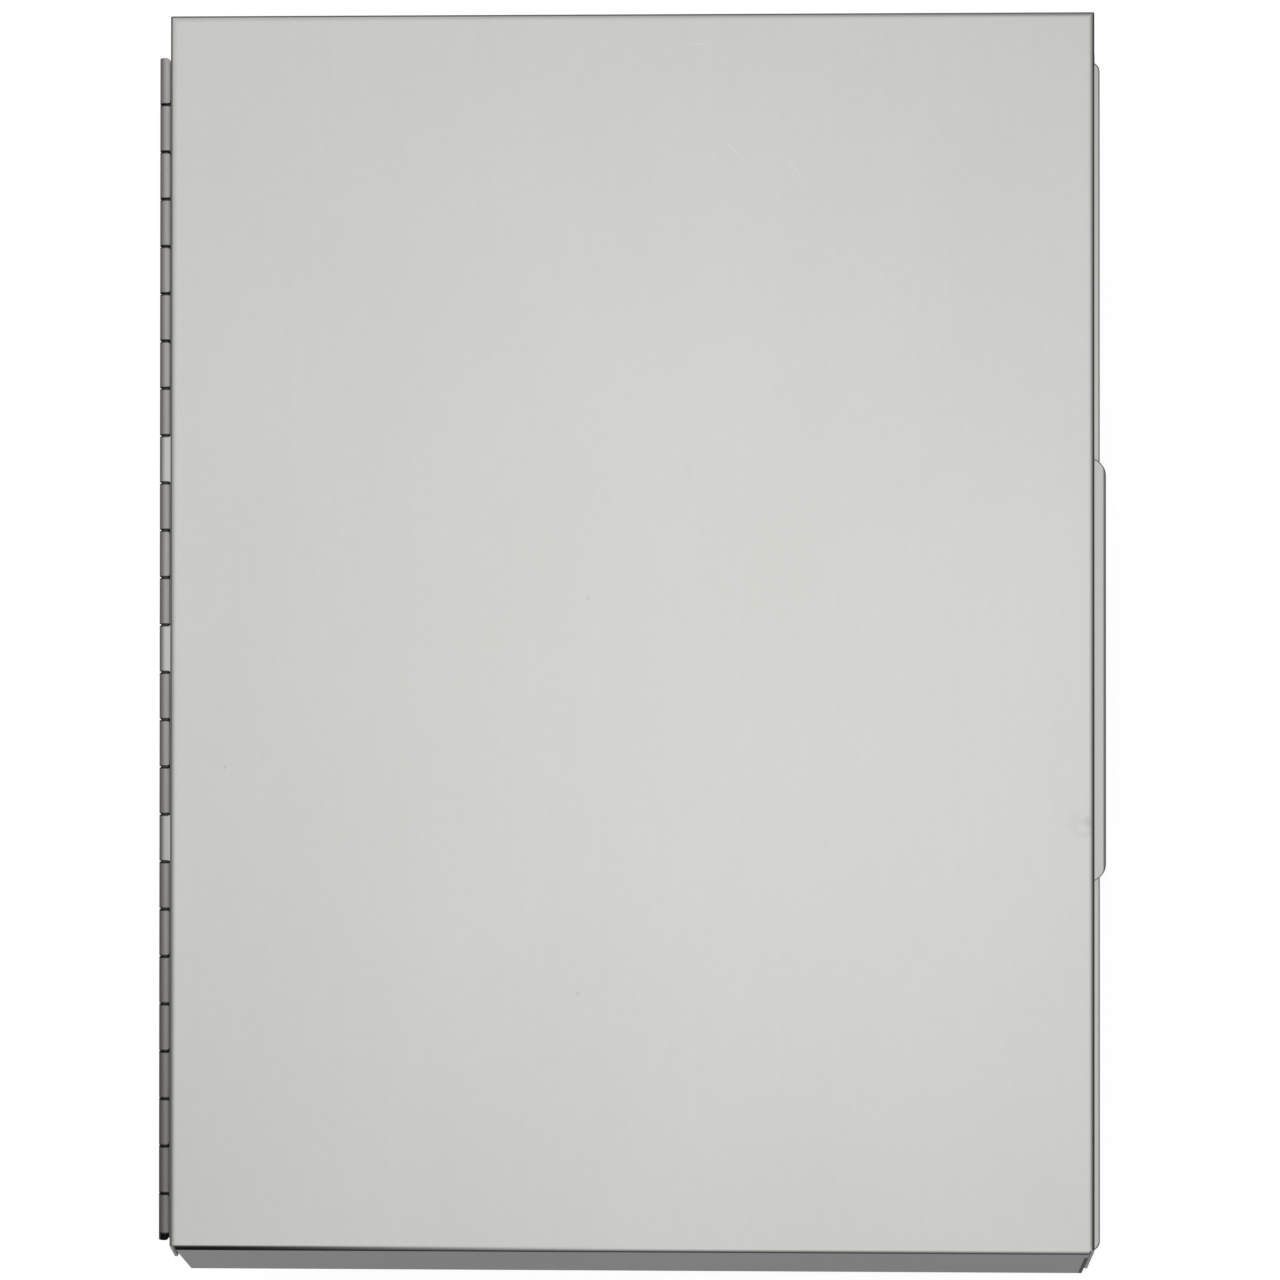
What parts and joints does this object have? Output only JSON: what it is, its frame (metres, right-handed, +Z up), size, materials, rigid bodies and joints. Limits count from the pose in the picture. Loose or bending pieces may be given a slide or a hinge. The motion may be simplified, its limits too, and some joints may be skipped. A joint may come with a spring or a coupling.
{
  "type": "storage clipboard box",
  "caption": "Flat metal box for forms: shallow storage tray, writing plate with a spring clip, and deep cover, all turning on one rolled three-leaf hinge.",
  "frame": {"origin": "middle of the whole closed box at the height of its underside", "axes": "+Z up through the cover, +Y to the end with the clip, +X to the side with the finger tab; the hinge pin lies along Y at the -X side"},
  "size_m": [0.253, 0.3324, 0.0242],
  "materials": {
    "cover_sheet": "satin, clear anodised",
    "plate_sheet": "satin, clear anodised",
    "tray_sheet": "satin, clear anodised",
    "clip_steel": "nickel plated",
    "pin_steel": "drawn wire",
    "spring_steel": "tempered",
    "rivet_aluminium": "upset, bright"
  },
  "bodies": {
    "tray": {"storage_tray": "tray_sheet", "hinge_pin": "pin_steel", "latch_rivet_1": "rivet_aluminium", "latch_rivet_2": "rivet_aluminium", "corner_rivet_1": "rivet_aluminium", "corner_rivet_2": "rivet_aluminium", "corner_rivet_3": "rivet_aluminium", "corner_rivet_4": "rivet_aluminium"},
    "latch": {"latch_spring": "spring_steel"},
    "plate": {"writing_plate": "plate_sheet", "clip_base": "clip_steel", "clip_rod": "pin_steel", "clip_spring_left": "spring_steel", "clip_spring_right": "spring_steel", "clip_rivet_1": "rivet_aluminium", "clip_rivet_2": "rivet_aluminium", "clip_rivet_3": "rivet_aluminium", "clip_rivet_4": "rivet_aluminium"},
    "jaw": {"clip_jaw": "clip_steel"},
    "cover": {"cover": "cover_sheet"}
  },
  "joints": [
    {"name": "plate_hinge", "type": "hinge", "parent": "tray", "child": "plate", "pos_m": [-0.12467, 0, 0.00945], "axis": [0, -1, 0], "range_deg": [0, 180]},
    {"name": "cover_hinge", "type": "hinge", "parent": "plate", "child": "cover", "pos_m": [-0.12467, 0, 0.00945], "axis": [0, -1, 0], "range_deg": [0, 180]},
    {"name": "clip_pivot", "type": "hinge", "parent": "plate", "child": "jaw", "pos_m": [0.0028, 0.14401, 0.0163], "axis": [-1, 0, 0], "range_deg": [0, 16], "stiffness_Nm_per_rad": 0.3, "springref_deg": -28.65, "deforming": ["clip_spring_left", "clip_spring_right"]},
    {"name": "latch_flex", "type": "hinge", "parent": "tray", "child": "latch", "pos_m": [0.12427, 0, 0.00235], "axis": [0, 1, 0], "range_deg": [0, 8], "stiffness_Nm_per_rad": 0.4, "deforming": ["latch_spring"]}
  ]
}
